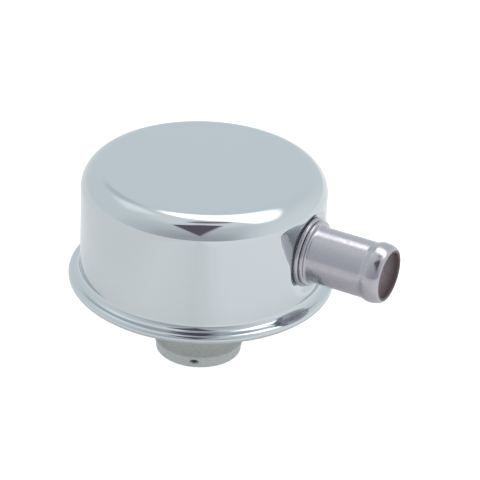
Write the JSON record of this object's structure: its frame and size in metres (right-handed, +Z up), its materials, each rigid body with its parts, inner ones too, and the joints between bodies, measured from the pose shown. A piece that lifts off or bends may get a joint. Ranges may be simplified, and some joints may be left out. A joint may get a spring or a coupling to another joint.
{
  "type": "push-in breather",
  "caption": "Push-in crankcase breather: round drawn cap hemmed over a base plate, plug-in neck below, beaded hose nipple at the side and a wire mesh filter inside.",
  "frame": {"origin": "on the neck's axis, in the plane of the hemmed flange's underside, where the base seats on a grommet", "axes": "+Z up along the neck's axis towards the cap's crown, +X along the hose nipple, out of the cap"},
  "size_m": [0.0959, 0.0762, 0.0586],
  "materials": {
    "chrome_cap": "polished chrome plate",
    "zinc_base": "zinc plate",
    "zinc_neck": "satin zinc plate",
    "nipple_plate": "satin nickel plate",
    "fibre_gasket": "matt black",
    "inner_steel": "bare sheet steel",
    "steel_wire": "knitted steel wire"
  },
  "bodies": {
    "root": {"outer_shell": "chrome_cap", "base_plate": "zinc_base", "neck_tube": "zinc_neck", "hose_nipple": "nipple_plate", "nipple_gasket": "fibre_gasket", "nipple_washer": "inner_steel", "splash_baffle": "inner_steel", "mesh_tray": "inner_steel", "wire_mesh_1": "steel_wire", "wire_mesh_2": "steel_wire", "wire_mesh_3": "steel_wire", "wire_mesh_4": "steel_wire"}
  },
  "joints": []
}
